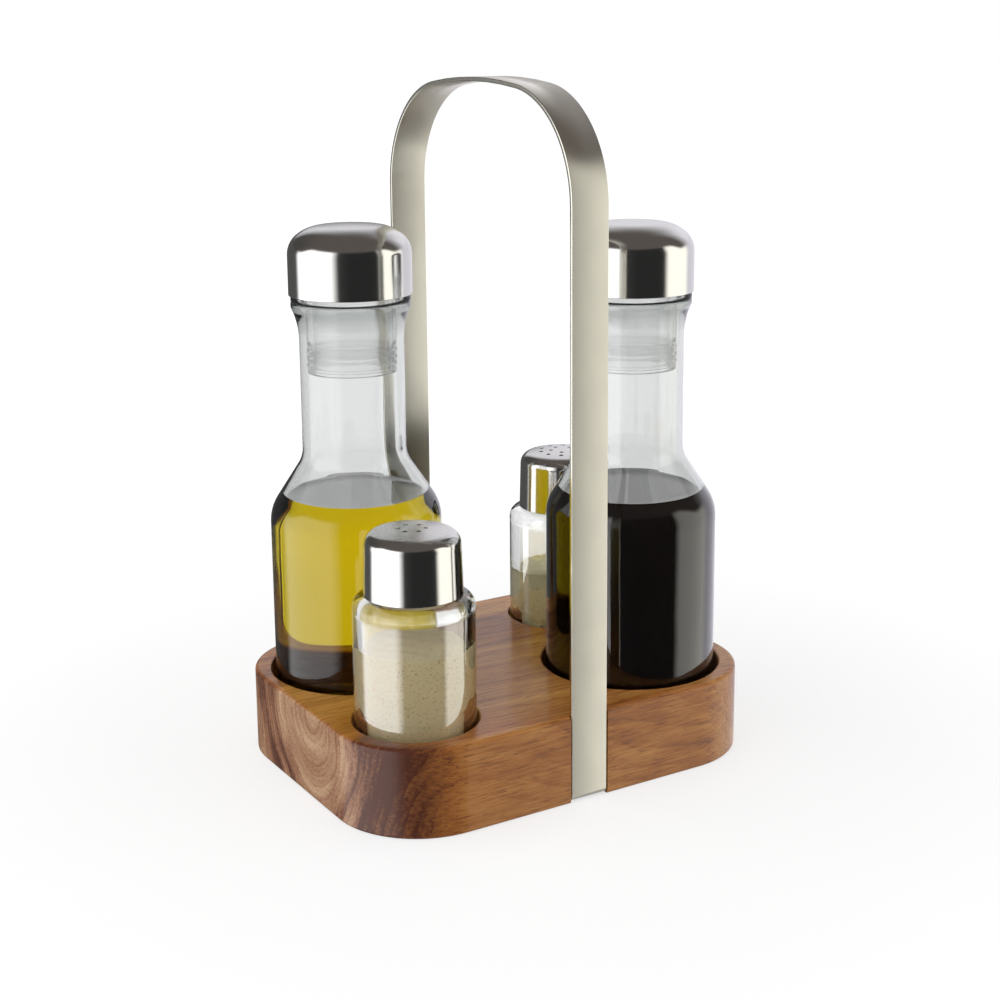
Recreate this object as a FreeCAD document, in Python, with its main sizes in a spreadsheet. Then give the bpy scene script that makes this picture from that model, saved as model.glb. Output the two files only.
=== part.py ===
"""Cruet set: a wooden block with a strap handle, two stoppered bottles and two shakers. Millimetres.

The block stands on z = 0 with its long side along X. The strap handle arches over it in the plane
x = 0. A bottle and a shaker stand in round recesses on each side of the handle, and the second pair
is the first turned half round about Z.
"""
import FreeCAD, Part
import math
import os
from types import SimpleNamespace

import Sketcher

Vector = FreeCAD.Vector

DIMENSIONS = (
    ("base_length", 156, "wooden block along X"),
    ("base_width", 120, "wooden block along Y"),
    ("base_thickness", 30.5, "wooden block's height"),
    ("base_corner", 31, "radius of the block's upright corners"),
    ("base_top_round", 1.5, "round-over of the block's top edge"),
    ("base_bottom_round", 1, "round-over of the block's bottom edge"),
    ("rim_round", 0.7, "round-over of the recesses' rims"),
    ("bottle_end_gap", 4.25, "wood between a bottle's recess and the block's end"),
    ("bottle_side_gap", 4.05, "wood between a bottle's recess and the block's long side"),
    ("shaker_end_gap", 6.95, "wood between a shaker's recess and the block's end"),
    ("shaker_side_gap", 7.55, "wood between a shaker's recess and the block's long side"),
    ("recess_gap", 2.8, "wood between a bottle's and a shaker's recess, across the block"),
    ("bottle_recess_depth", 16, "depth of the bottles' recesses"),
    ("shaker_recess_depth", 16, "depth of the shakers' recesses"),
    ("bottle_recess_gap", 1.75, "play round a bottle in its recess"),
    ("shaker_recess_gap", 0.8, "play round a shaker in its recess"),
    ("strap_width", 14, "handle strap along X"),
    ("strap_thick", 1.5, "handle strap's thickness"),
    ("handle_height", 237, "top of the handle above the table"),
    ("handle_inset", 0.15, "strap's outer face behind the block's side"),
    ("handle_bend", 38, "outer radius of the handle's two upper bends"),
    ("handle_crown", 200, "outer radius of the handle's top"),
    ("slot_side_gap", 0.45, "gap on each side of the strap in its slot"),
    ("slot_back_gap", 0.2, "gap behind and above the strap in its slot"),
    ("groove_overlap", 0.5, "foot groove past the back of its slot"),
    ("foot_length", 22, "strap turned in under the block, from its outer face"),
    ("foot_bend", 2, "outer radius of the strap's lower bend"),
    ("foot_lift", 0.4, "strap's underside above the table"),
    ("screw_inset", 8, "screw from the end of the turned-in foot"),
    ("screw_head", 3, "radius of the countersunk screw head"),
    ("screw_head_height", 1.4, "height of the countersunk head"),
    ("screw_shank", 1.6, "radius of the screw's shank"),
    ("screw_length", 14, "screw from the top of its head to its tip"),
    ("screw_tip", 3, "length of the screw's pointed end"),
    ("screw_slot_width", 0.8, "width of the driver slot"),
    ("screw_slot_depth", 0.7, "depth of the driver slot"),
    ("screw_play", 0.05, "gap round the screw in its hole"),
    ("bottle_wall", 2.2, "wall of a bottle"),
    ("bottle_floor", 4.5, "glass under the liquid"),
    ("bottle_heel", 3, "rounding at the foot of a bottle"),
    ("bottle_ring", 5, "width of the ring that a bottle stands on"),
    ("bottle_punt", 1, "hollow under a bottle"),
    ("bottle_side", 69.9, "height at which the shoulder starts"),
    ("shoulder_round", 15, "outer radius of the shoulder's curve"),
    ("shoulder_angle", 33, "slope of the shoulder from upright, in degrees"),
    ("neck_blend", 11, "outer radius of the curve from shoulder to neck"),
    ("neck_radius", 18.1, "outside of the neck"),
    ("flare_start", 134, "height at which the neck starts to widen"),
    ("flare_round", 27, "outer radius of the widening"),
    ("flare_angle", 24, "slope at the end of the widening, in degrees"),
    ("lip_round", 3, "outer radius of the lip"),
    ("rim_edge", 0.8, "rounding of the rim"),
    ("bottle_height", 147.3, "height of a bottle's rim"),
    ("liquid_level", 79.5, "height of the liquid above a bottle's foot"),
    ("flange_radius", 20.6, "stopper's flange on the rim"),
    ("flange_thick", 2.3, "thickness of the flange"),
    ("sleeve_gap", 0.6, "play of the stopper's sleeve in the neck"),
    ("sleeve_length", 24.4, "sleeve below the rim"),
    ("gland_depth", 0.9, "depth of the seal's seat in the sleeve"),
    ("gland_start", 1.2, "seal's seat above the sleeve's end"),
    ("gland_length", 8.4, "length of the seal's seat"),
    ("sleeve_wall", 1.4, "wall of the sleeve at the seal's seat"),
    ("core_height", 11, "stopper's core inside the cap"),
    ("core_roof", 2, "plastic above the sleeve's hollow"),
    ("seal_thick", 0.7, "wall of the seal between its ribs"),
    ("seal_rib_round", 0.9, "radius of a seal rib's section"),
    ("seal_rib_width", 1.5, "width of a seal rib"),
    ("seal_rib_pitch", 2.4, "from one seal rib to the next"),
    ("seal_play", 0.04, "gap of the seal in its seat"),
    ("cap_radius", 21.3, "outside of a bottle cap"),
    ("cap_height", 24.1, "height of a bottle cap"),
    ("cap_edge", 6, "outer radius of a bottle cap's edge"),
    ("cap_crown", 43, "outer radius of a bottle cap's top"),
    ("cap_steel", 0.6, "sheet of a bottle cap"),
    ("press_gap", 0.05, "gap between a cap and the plastic in it"),
    ("shaker_radius", 20.25, "outside of a shaker's body"),
    ("shaker_heel", 4, "rounding at the foot of a shaker"),
    ("shaker_shoulder", 58.7, "height of a shaker's flat shoulder"),
    ("shaker_round", 4, "outer radius of a shaker's shoulder"),
    ("shaker_neck", 13.9, "outside of a shaker's neck"),
    ("shaker_bore", 11.8, "mouth of a shaker"),
    ("shaker_neck_length", 11.8, "a shaker's rim above its shoulder"),
    ("shaker_floor", 6, "glass under the powder"),
    ("cavity_low", 15.9, "inside of a shaker at its floor"),
    ("cavity_high", 17, "inside of a shaker under its shoulder"),
    ("cavity_drop", 6.4, "start of the inside's upper curve below the shoulder"),
    ("cavity_round", 4, "radius of the inside's upper curve"),
    ("cavity_heel", 3, "radius of the inside's lower curve"),
    ("front_powder_space", 9.1, "powder of the front shaker below the inside's upper curve"),
    ("back_powder_space", 15.8, "powder of the back shaker below the inside's upper curve"),
    ("shaker_cap_gap", 0.3, "shaker cap above the glass shoulder"),
    ("shaker_cap_low", 16.4, "outside of a shaker cap at its lower edge"),
    ("shaker_cap_high", 15.95, "outside of a shaker cap under its rounded edge"),
    ("shaker_cap_height", 21.8, "height of a shaker cap"),
    ("shaker_cap_edge", 4.5, "outer radius of a shaker cap's edge"),
    ("shaker_cap_crown", 90, "outer radius of a shaker cap's top"),
    ("shaker_cap_steel", 0.5, "sheet of a shaker cap"),
    ("liner_play", 0.3, "gap between liner and glass neck"),
    ("liner_flange", 1.2, "liner's flange on the shaker's rim"),
    ("hole_radius", 0.8, "pouring hole"),
    ("hole_ring", 4.4, "radius of the inner ring of pouring holes"),
    ("outer_hole_ring", 8.3, "radius of the back shaker's outer ring of holes"),
    ("front_holes", 6, "pouring holes of the front shaker"),
    ("back_inner_holes", 5, "inner pouring holes of the back shaker"),
    ("back_outer_holes", 10, "outer pouring holes of the back shaker"),
    ("first_hole", 90, "direction of each ring's first hole, in degrees"),
)
SEAL_RIBS = 3
THROUGH = 5.0  # how far a cutting shape runs past the face that it starts from
NEAR = 1e-4  # heights closer than this are the same


class Size:
    """A value with the expression on the sheet that it comes from."""

    def __init__(self, value, text):
        self.value = value
        self.text = text

    def __add__(self, other):
        other = as_size(other)
        return Size(self.value + other.value, f"({self.text} + {other.text})")

    def __sub__(self, other):
        other = as_size(other)
        return Size(self.value - other.value, f"({self.text} - {other.text})")

    def __mul__(self, other):
        other = as_size(other)
        return Size(self.value * other.value, f"({self.text} * {other.text})")

    def __truediv__(self, other):
        other = as_size(other)
        return Size(self.value / other.value, f"({self.text} / {other.text})")

    def __rsub__(self, other):
        return as_size(other) - self

    def __neg__(self):
        return as_size(0) - self

    __radd__ = __add__
    __rmul__ = __mul__


def as_size(number):
    return number if isinstance(number, Size) else Size(float(number), repr(float(number)))


def sine(angle):
    return Size(math.sin(math.radians(angle.value)), f"sin({angle.text})")


def cosine(angle):
    return Size(math.cos(math.radians(angle.value)), f"cos({angle.text})")


def root(number):
    return Size(math.sqrt(number.value), f"sqrt({number.text})")


def make_sheet(doc):
    """Spreadsheet of the driving dimensions, and the sizes worked out from them."""
    sheet = doc.addObject("Spreadsheet::Sheet", "Sizes")
    for row, (name, number, meaning) in enumerate(DIMENSIONS, 1):
        sheet.set(f"A{row}", name)
        sheet.set(f"B{row}", str(number))
        sheet.set(f"C{row}", meaning)
        sheet.setAlias(f"B{row}", name)
    doc.recompute()
    s = SimpleNamespace()
    for name, _, _ in DIMENSIONS:
        setattr(s, name, Size(float(sheet.get(name)), f"Sizes.{name}"))

    s.shaker_hole = s.shaker_radius + s.shaker_recess_gap
    beside_bottle = s.bottle_side_gap + s.recess_gap + s.shaker_hole * 2 + s.shaker_side_gap
    s.bottle_hole = (s.base_width - beside_bottle) / 2
    s.bottle_radius = s.bottle_hole - s.bottle_recess_gap
    s.bottle_x = s.base_length / 2 - s.bottle_end_gap - s.bottle_hole
    s.bottle_y = s.base_width / 2 - s.bottle_side_gap - s.bottle_hole
    s.shaker_x = s.base_length / 2 - s.shaker_end_gap - s.shaker_hole
    s.shaker_y = s.base_width / 2 - s.shaker_side_gap - s.shaker_hole
    s.shaker_height = s.shaker_shoulder + s.shaker_neck_length
    s.cavity_side = s.shaker_shoulder - s.cavity_drop
    return s


def bind(thing, **sizes):
    """Tie an object's properties to the sheet."""
    for name, number in sizes.items():
        thing.setExpression(name, as_size(number).text)


def place(thing, x=0, y=0, z=0):
    for axis, number in zip("xyz", (x, y, z)):
        thing.setExpression(f"Placement.Base.{axis}", as_size(number).text)


def new_body(doc, name):
    body = doc.addObject("PartDesign::Body", name)
    body.Label = name
    return body


def new_sketch(body, name, plane, height=0):
    """Sketch on one of the body's own origin planes, raised by height along that plane's normal."""
    sketch = body.newObject("Sketcher::SketchObject", name)
    support = next(f for f in body.Origin.OriginFeatures if f.Role == plane)
    sketch.AttachmentSupport = (support, [""])
    sketch.MapMode = "FlatFace"
    sketch.setExpression("AttachmentOffset.Base.z", as_size(height).text)
    return sketch


def fix_point(sketch, part, end, x, y):
    """Hold a point of the sketch at x and y from its origin."""
    for kind, number in (("DistanceX", x), ("DistanceY", y)):
        number = as_size(number)
        row = sketch.addConstraint(Sketcher.Constraint(kind, -1, 1, part, end, number.value))
        sketch.setExpression(f"Constraints[{row}]", number.text)


def fix_radius(sketch, part, radius):
    row = sketch.addConstraint(Sketcher.Constraint("Radius", part, radius.value))
    sketch.setExpression(f"Constraints[{row}]", radius.text)


def arc_between(start, end, radius, turn):
    """Circular arc from start to end that turns left (turn = 1) or right (turn = -1)."""
    middle = (start + end) * 0.5
    half = (end - start).Length / 2
    across = Vector(start.y - end.y, end.x - start.x, 0).normalize()
    centre = middle + across * (turn * math.sqrt(max(radius * radius - half * half, 0)))
    first, last = (start, end) if turn > 0 else (end, start)
    angles = [math.atan2(p.y - centre.y, p.x - centre.x) for p in (first, last)]
    return Part.ArcOfCircle(Part.Circle(centre, Vector(0, 0, 1), radius), *angles)


def draw_outline(sketch, corners):
    """Closed outline through corners (x, y) or (x, y, radius, turn).

    A corner with a radius is reached from the one before by an arc, and otherwise by a line.
    """
    points = [Vector(as_size(c[0]).value, as_size(c[1]).value, 0) for c in corners]
    ends = []
    for index, corner in enumerate(corners):
        start, end = points[index - 1], points[index]
        if len(corner) == 2:
            part = sketch.addGeometry(Part.LineSegment(start, end))
            ends.append((part, 1, 2))
        else:
            radius, turn = as_size(corner[2]), corner[3]
            part = sketch.addGeometry(arc_between(start, end, radius.value, turn))
            ends.append((part, 1, 2) if turn > 0 else (part, 2, 1))
    for index, corner in enumerate(corners):
        part, _, last = ends[index]
        following, first, _ = ends[(index + 1) % len(ends)]
        sketch.addConstraint(Sketcher.Constraint("Coincident", part, last, following, first))
        fix_point(sketch, part, last, corner[0], corner[1])
        if len(corner) > 2:
            fix_radius(sketch, part, as_size(corner[2]))


def draw_circle(sketch, x, y, radius):
    circle = Part.Circle(Vector(as_size(x).value, as_size(y).value, 0), Vector(0, 0, 1), radius.value)
    part = sketch.addGeometry(circle)
    fix_point(sketch, part, 3, x, y)
    fix_radius(sketch, part, radius)


def draw_box(sketch, x, y, half_x, half_y):
    corners = ((-1, -1), (1, -1), (1, 1), (-1, 1))
    draw_outline(sketch, [(x + right * half_x, y + back * half_y) for right, back in corners])


def turned(doc, name, corners):
    """Body of revolution about its own Z axis from an outline in radius and height."""
    body = new_body(doc, name)
    sketch = new_sketch(body, f"{name}_section", "XZ_Plane")
    draw_outline(sketch, corners)
    turn = body.newObject("PartDesign::Revolution", f"{name}_turning")
    turn.Profile = sketch
    turn.ReferenceAxis = (sketch, ["V_Axis"])
    turn.Angle = 360
    return body


def pocket(body, name, sketch, depth, from_below=False):
    cut = body.newObject("PartDesign::Pocket", name)
    cut.Profile = sketch
    cut.Reversed = from_below
    bind(cut, Length=depth)
    return cut


def faces_at(shape, height):
    """Names of the flat faces that lie at one height."""
    names = []
    for index, face in enumerate(shape.Faces, 1):
        box = face.BoundBox
        if abs(box.ZMin - height) < NEAR and abs(box.ZMax - height) < NEAR:
            names.append(f"Face{index}")
    return names


def crowned(half_width, top, edge, crown, inset=0):
    """Junction of a shallow crown with its edge curve, and the height where that curve turns upright.

    The crown's centre is on the axis, and the edge's circle touches both the crown and the side.
    """
    lean = (half_width - edge) / (crown - edge)
    upright = root(1 - lean * lean)
    side_height = top - crown + (crown - edge) * upright
    reach = edge - inset
    return half_width - edge + reach * lean, side_height + reach * upright, side_height


def make_block(doc, s):
    """Wooden block with four recesses, two strap slots, foot grooves and screw holes."""
    body = new_body(doc, "wood_base")
    half_x, half_y, round_ = s.base_length / 2, s.base_width / 2, s.base_corner
    straight_x, straight_y = half_x - round_, half_y - round_
    sketch = new_sketch(body, "block_plan", "XY_Plane")
    draw_outline(sketch, [
        (-straight_x, -half_y, round_, 1), (straight_x, -half_y),
        (half_x, -straight_y, round_, 1), (half_x, straight_y),
        (straight_x, half_y, round_, 1), (-straight_x, half_y),
        (-half_x, straight_y, round_, 1), (-half_x, -straight_y),
    ])
    pad = body.newObject("PartDesign::Pad", "block")
    pad.Profile = sketch
    bind(pad, Length=s.base_thickness)
    doc.recompute()
    feature = pad
    for name, height, radius in (
        ("top_round", s.base_thickness.value, s.base_top_round),
        ("bottom_round", 0, s.base_bottom_round),
    ):
        fillet = body.newObject("PartDesign::Fillet", name)
        fillet.Base = (feature, faces_at(feature.Shape, height))
        bind(fillet, Radius=radius)
        doc.recompute()
        feature = fillet

    for name, x, y, radius, depth in (
        ("bottle_recess", -s.bottle_x, s.bottle_y, s.bottle_hole, s.bottle_recess_depth),
        ("shaker_recess", s.shaker_x, s.shaker_y, s.shaker_hole, s.shaker_recess_depth),
    ):
        plan = new_sketch(body, f"{name}_plan", "XY_Plane", s.base_thickness)
        draw_circle(plan, x, y, radius)
        draw_circle(plan, -x, -y, radius)
        pocket(body, name, plan, depth)
    doc.recompute()
    rims = []
    for index, edge in enumerate(body.Shape.Edges, 1):
        box = edge.BoundBox
        on_top = abs(box.ZMin - s.base_thickness.value) < NEAR and box.ZLength < NEAR
        if on_top and isinstance(edge.Curve, Part.Circle) and len(edge.Vertexes) == 1:
            rims.append(f"Edge{index}")
    recessed = body.Tip
    rim = body.newObject("PartDesign::Fillet", "recess_rims")
    rim.Base = (recessed, rims)
    bind(rim, Radius=s.rim_round)
    doc.recompute()

    slot_half = s.strap_width / 2 + s.slot_side_gap
    slot_depth = s.handle_inset + s.strap_thick + s.slot_back_gap
    slots = new_sketch(body, "strap_slots_plan", "XY_Plane", s.base_thickness)
    for side in (-1, 1):
        middle = half_y - slot_depth / 2 + THROUGH / 2
        draw_box(slots, as_size(0), side * middle, slot_half, slot_depth / 2 + THROUGH / 2)
    pocket(body, "strap_slots", slots, s.base_thickness + THROUGH)

    groove_in = half_y - s.handle_inset - s.foot_length - s.slot_side_gap
    groove_out = half_y - slot_depth + s.groove_overlap
    grooves = new_sketch(body, "foot_grooves_plan", "XY_Plane")
    for side in (-1, 1):
        middle = (groove_in + groove_out) / 2
        draw_box(grooves, as_size(0), side * middle, slot_half, (groove_out - groove_in) / 2)
    pocket(body, "foot_grooves", grooves, s.foot_lift + s.strap_thick + s.slot_back_gap, from_below=True)

    holes = new_sketch(body, "screw_holes_plan", "XY_Plane")
    screw_y = half_y - s.handle_inset - s.foot_length + s.screw_inset
    for side in (-1, 1):
        draw_circle(holes, as_size(0), side * screw_y, s.screw_shank + s.screw_play)
    pocket(body, "screw_holes", holes, s.foot_lift + s.screw_length + s.screw_play, from_below=True)
    return body


def make_handle(doc, s):
    """Flat strap bent over in an arch, with its two ends turned in under the block and drilled."""
    body = new_body(doc, "handle_strap")
    leg = s.base_width / 2 - s.handle_inset
    thick, low = s.strap_thick, s.foot_lift
    foot_end = leg - s.foot_length
    outer_y, outer_z, upright = crowned(leg, s.handle_height, s.handle_bend, s.handle_crown)
    inner_y, inner_z, _ = crowned(leg, s.handle_height, s.handle_bend, s.handle_crown, thick)
    sketch = new_sketch(body, "strap_outline", "YZ_Plane")
    draw_outline(sketch, [
        (as_size(0), s.handle_height - thick),
        (inner_y, inner_z, s.handle_crown - thick, -1),
        (leg - thick, upright, s.handle_bend - thick, -1),
        (leg - thick, low + s.foot_bend),
        (leg - s.foot_bend, low + thick, s.foot_bend - thick, -1),
        (foot_end, low + thick),
        (foot_end, low),
        (leg - s.foot_bend, low),
        (leg, low + s.foot_bend, s.foot_bend, 1),
        (leg, upright),
        (outer_y, outer_z, s.handle_bend, 1),
        (as_size(0), s.handle_height, s.handle_crown, 1),
    ])
    pad = body.newObject("PartDesign::Pad", "half_strap")
    pad.Profile = sketch
    pad.SideType = "Symmetric"
    bind(pad, Length=s.strap_width)
    plan = new_sketch(body, "screw_seat_plan", "XY_Plane", low)
    draw_circle(plan, as_size(0), foot_end + s.screw_inset, s.screw_head + s.screw_play)
    seat = pocket(body, "screw_seat", plan, thick, from_below=True)
    taper = (s.screw_head - s.screw_shank) / s.screw_head_height
    seat.TaperAngle = -math.degrees(math.atan(taper.value))
    seat.setExpression("TaperAngle", f"-atan({taper.text})")
    doc.recompute()
    both = body.newObject("PartDesign::Mirrored", "both_halves")
    both.Originals = [pad, seat]
    both.MirrorPlane = (next(f for f in body.Origin.OriginFeatures if f.Role == "XZ_Plane"), [""])
    body.Tip = both
    return body


def make_screws(doc, s):
    """Two countersunk slotted wood screws that hold the strap's feet, as separate solids."""
    head = turned(doc, "screw_blank", [
        (as_size(0), s.foot_lift),
        (s.screw_head, s.foot_lift),
        (s.screw_shank, s.foot_lift + s.screw_head_height),
        (s.screw_shank, s.foot_lift + s.screw_length - s.screw_tip),
        (as_size(0), s.foot_lift + s.screw_length),
    ])
    plan = new_sketch(head, "driver_slot_plan", "XY_Plane", s.foot_lift)
    draw_box(plan, as_size(0), as_size(0), s.screw_head + THROUGH, s.screw_slot_width / 2)
    pocket(head, "driver_slot", plan, s.screw_slot_depth, from_below=True)
    place(head, 0, s.base_width / 2 - s.handle_inset - s.foot_length + s.screw_inset, 0)
    other = doc.addObject("Part::Mirroring", "screw_mirrored")
    other.Source = head
    other.Normal = Vector(0, 1, 0)
    pair = doc.addObject("Part::Compound", "handle_screws")
    pair.Links = [head, other]
    pair.Label = "handle_screws"
    return pair


def bottle_side_corners(s, inset):
    """Side of a bottle from the shoulder's start to the neck, moved inwards by inset."""
    lean, rise = sine(s.shoulder_angle), cosine(s.shoulder_angle)
    shoulder = s.shoulder_round - inset
    blend = s.neck_blend + inset
    body, neck = s.bottle_radius - inset, s.neck_radius - inset
    shoulder_r = body - shoulder * (1 - rise)
    shoulder_z = s.bottle_side + shoulder * lean
    blend_r = neck + blend * (1 - rise)
    blend_z = shoulder_z + (shoulder_r - blend_r) * rise / lean
    return [
        (body, s.bottle_side),
        (shoulder_r, shoulder_z, shoulder, 1),
        (blend_r, blend_z),
        (neck, blend_z + blend * lean, blend, -1),
    ]


def make_bottle(doc, s, name, fill_name, x, y):
    """Blown glass bottle and the liquid that fills its body."""
    flare_r = s.neck_radius + s.flare_round * (1 - cosine(s.flare_angle))
    flare_z = s.flare_start + s.flare_round * sine(s.flare_angle)
    lip_r = flare_r + s.lip_round * (1 - cosine(s.flare_angle))
    ring_r = s.bottle_radius - s.bottle_heel - s.bottle_ring
    outside = turned(doc, f"{name}_outside", [
        (as_size(0), s.bottle_height),
        (as_size(0), s.bottle_punt),
        (ring_r - s.bottle_punt, s.bottle_punt),
        (ring_r, as_size(0)),
        (s.bottle_radius - s.bottle_heel, as_size(0)),
        (s.bottle_radius, s.bottle_heel, s.bottle_heel, 1),
        *bottle_side_corners(s, 0),
        (s.neck_radius, s.flare_start),
        (flare_r, flare_z, s.flare_round, -1),
        (lip_r, flare_z + s.lip_round * sine(s.flare_angle), s.lip_round, 1),
        (lip_r, s.bottle_height - s.rim_edge),
        (lip_r - s.rim_edge, s.bottle_height, s.rim_edge, 1),
    ])
    bore = s.neck_radius - s.bottle_wall
    inside_radius = s.bottle_radius - s.bottle_wall
    cavity = turned(doc, f"{name}_inside", [
        (as_size(0), s.bottle_height + THROUGH),
        (as_size(0), s.bottle_floor),
        (inside_radius - s.bottle_heel, s.bottle_floor),
        (inside_radius, s.bottle_floor + s.bottle_heel, s.bottle_heel, 1),
        *bottle_side_corners(s, s.bottle_wall),
        (bore, s.bottle_height + THROUGH),
    ])
    standing = s.base_thickness - s.bottle_recess_depth
    place(outside, x, y, standing)
    place(cavity, x, y, standing)
    glass = doc.addObject("Part::Cut", name)
    glass.Base = outside
    glass.Tool = cavity
    glass.Label = name
    fill = make_fill(doc, fill_name, cavity, s.bottle_radius, x, y, standing, s.liquid_level)
    return glass, fill


def make_fill(doc, name, cavity, radius, x, y, standing, level):
    """What fills a vessel's inside up to a level."""
    reach = doc.addObject("Part::Cylinder", f"{name}_reach")
    bind(reach, Radius=radius, Height=level)
    place(reach, x, y, standing)
    fill = doc.addObject("Part::Common", name)
    fill.Base = cavity
    fill.Tool = reach
    fill.Label = name
    return fill


def make_stopper(doc, s, prefix, x, y):
    """Steel cap, plastic stopper pressed into it, and the ribbed seal round the stopper's sleeve."""
    rim = s.bottle_height
    cap_low = rim + s.flange_thick
    sleeve = s.neck_radius - s.bottle_wall - s.sleeve_gap
    gland = sleeve - s.gland_depth
    sleeve_low = rim - s.sleeve_length
    gland_low = sleeve_low + s.gland_start
    gland_high = gland_low + s.gland_length
    core = s.cap_radius - s.cap_steel - s.press_gap
    core_top = cap_low + s.core_height
    hollow = gland - s.sleeve_wall
    plug = turned(doc, f"{prefix}_stopper_plug", [
        (as_size(0), core_top),
        (as_size(0), core_top - s.core_roof),
        (hollow, core_top - s.core_roof),
        (hollow, sleeve_low),
        (sleeve, sleeve_low),
        (sleeve, gland_low),
        (gland, gland_low),
        (gland, gland_high),
        (sleeve, gland_high),
        (sleeve, rim),
        (s.flange_radius, rim),
        (s.flange_radius, cap_low),
        (core, cap_low),
        (core, core_top),
    ])

    low, high = gland_low + s.seal_play, gland_high - s.seal_play
    seal_r = gland + s.seal_play + s.seal_thick
    first = (low + high) / 2 - (SEAL_RIBS - 1) / 2 * s.seal_rib_pitch - s.seal_rib_width / 2
    section = [(gland + s.seal_play, high), (gland + s.seal_play, low), (seal_r, low)]
    for rib in range(SEAL_RIBS):
        start = first + rib * s.seal_rib_pitch
        section.append((seal_r, start))
        section.append((seal_r, start + s.seal_rib_width, s.seal_rib_round, 1))
    section.append((seal_r, high))
    seal = turned(doc, f"{prefix}_stopper_seal", section)

    top = cap_low + s.cap_height
    steel = s.cap_steel
    outer_r, outer_z, side = crowned(s.cap_radius, top, s.cap_edge, s.cap_crown)
    inner_r, inner_z, _ = crowned(s.cap_radius, top, s.cap_edge, s.cap_crown, steel)
    cap = turned(doc, f"{prefix}_cap_shell", [
        (as_size(0), top - steel),
        (inner_r, inner_z, s.cap_crown - steel, -1),
        (s.cap_radius - steel, side, s.cap_edge - steel, -1),
        (s.cap_radius - steel, cap_low),
        (s.cap_radius, cap_low),
        (s.cap_radius, side),
        (outer_r, outer_z, s.cap_edge, 1),
        (as_size(0), top, s.cap_crown, 1),
    ])
    for piece in (plug, seal, cap):
        place(piece, x, y, s.base_thickness - s.bottle_recess_depth)
    return plug, seal, cap


def make_shaker(doc, s, name, fill_name, x, y, level):
    """Thick glass shaker with a flat shoulder and a narrower neck, and the powder in it."""
    outside = turned(doc, f"{name}_outside", [
        (as_size(0), s.shaker_height),
        (as_size(0), as_size(0)),
        (s.shaker_radius - s.shaker_heel, as_size(0)),
        (s.shaker_radius, s.shaker_heel, s.shaker_heel, 1),
        (s.shaker_radius, s.shaker_shoulder - s.shaker_round),
        (s.shaker_radius - s.shaker_round, s.shaker_shoulder, s.shaker_round, 1),
        (s.shaker_neck, s.shaker_shoulder),
        (s.shaker_neck, s.shaker_height),
    ])
    cavity = turned(doc, f"{name}_inside", [
        (as_size(0), s.shaker_height + THROUGH),
        (as_size(0), s.shaker_floor),
        (s.cavity_low - s.cavity_heel, s.shaker_floor),
        (s.cavity_low, s.shaker_floor + s.cavity_heel, s.cavity_heel, 1),
        (s.cavity_high, s.cavity_side),
        (s.cavity_high - s.cavity_round, s.cavity_side + s.cavity_round, s.cavity_round, 1),
        (s.shaker_bore, s.cavity_side + s.cavity_round),
        (s.shaker_bore, s.shaker_height + THROUGH),
    ])
    standing = s.base_thickness - s.shaker_recess_depth
    place(outside, x, y, standing)
    place(cavity, x, y, standing)
    glass = doc.addObject("Part::Cut", name)
    glass.Base = outside
    glass.Tool = cavity
    glass.Label = name
    fill = make_fill(doc, fill_name, cavity, s.shaker_radius, x, y, standing, level)
    return glass, fill


def drill_ring(doc, body, name, s, ring, count, top):
    """A ring of pouring holes through the top of a cap: one hole, repeated about the cap's axis."""
    plan = new_sketch(body, f"{name}_plan", "XY_Plane", top)
    draw_circle(plan, ring * cosine(s.first_hole), ring * sine(s.first_hole), s.hole_radius)
    hole = pocket(body, f"{name}_hole", plan, s.shaker_cap_edge)
    doc.recompute()
    pattern = body.newObject("PartDesign::PolarPattern", name)
    pattern.Originals = [hole]
    pattern.Axis = (next(f for f in body.Origin.OriginFeatures if f.Role == "Z_Axis"), [""])
    pattern.Angle = 360
    bind(pattern, Occurrences=count)
    body.Tip = pattern
    doc.recompute()


def make_shaker_cap(doc, s, prefix, x, y, rings):
    """Perforated steel cap and the plastic liner that seats it on the shaker's neck."""
    low = s.shaker_shoulder + s.shaker_cap_gap
    top = low + s.shaker_cap_height
    steel = s.shaker_cap_steel
    outer_r, outer_z, side = crowned(s.shaker_cap_high, top, s.shaker_cap_edge, s.shaker_cap_crown)
    inner_r, inner_z, _ = crowned(s.shaker_cap_high, top, s.shaker_cap_edge, s.shaker_cap_crown, steel)
    shell = turned(doc, f"{prefix}_shaker_cap", [
        (as_size(0), top - steel),
        (inner_r, inner_z, s.shaker_cap_crown - steel, -1),
        (s.shaker_cap_high - steel, side, s.shaker_cap_edge - steel, -1),
        (s.shaker_cap_low - steel, low),
        (s.shaker_cap_low, low),
        (s.shaker_cap_high, side),
        (outer_r, outer_z, s.shaker_cap_edge, 1),
        (as_size(0), top, s.shaker_cap_crown, 1),
    ])
    doc.recompute()
    for index, (ring, count) in enumerate(rings):
        drill_ring(doc, shell, f"{prefix}_holes_{index}", s, ring, count, top)

    draw_in = (s.shaker_cap_low - s.shaker_cap_high) / (side - low)
    outside = s.shaker_cap_low - steel - s.press_gap
    liner_low = low + s.shaker_cap_gap
    rim = s.shaker_height
    bore = s.shaker_neck + s.liner_play
    flange_top = rim + s.liner_flange
    liner = turned(doc, f"{prefix}_shaker_liner", [
        (bore, rim),
        (bore, liner_low),
        (outside - draw_in * (liner_low - low), liner_low),
        (outside - draw_in * (flange_top - low), flange_top),
        (s.shaker_bore, flange_top),
        (s.shaker_bore, rim),
    ])
    for piece in (shell, liner):
        place(piece, x, y, s.base_thickness - s.shaker_recess_depth)
    return shell, liner


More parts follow.
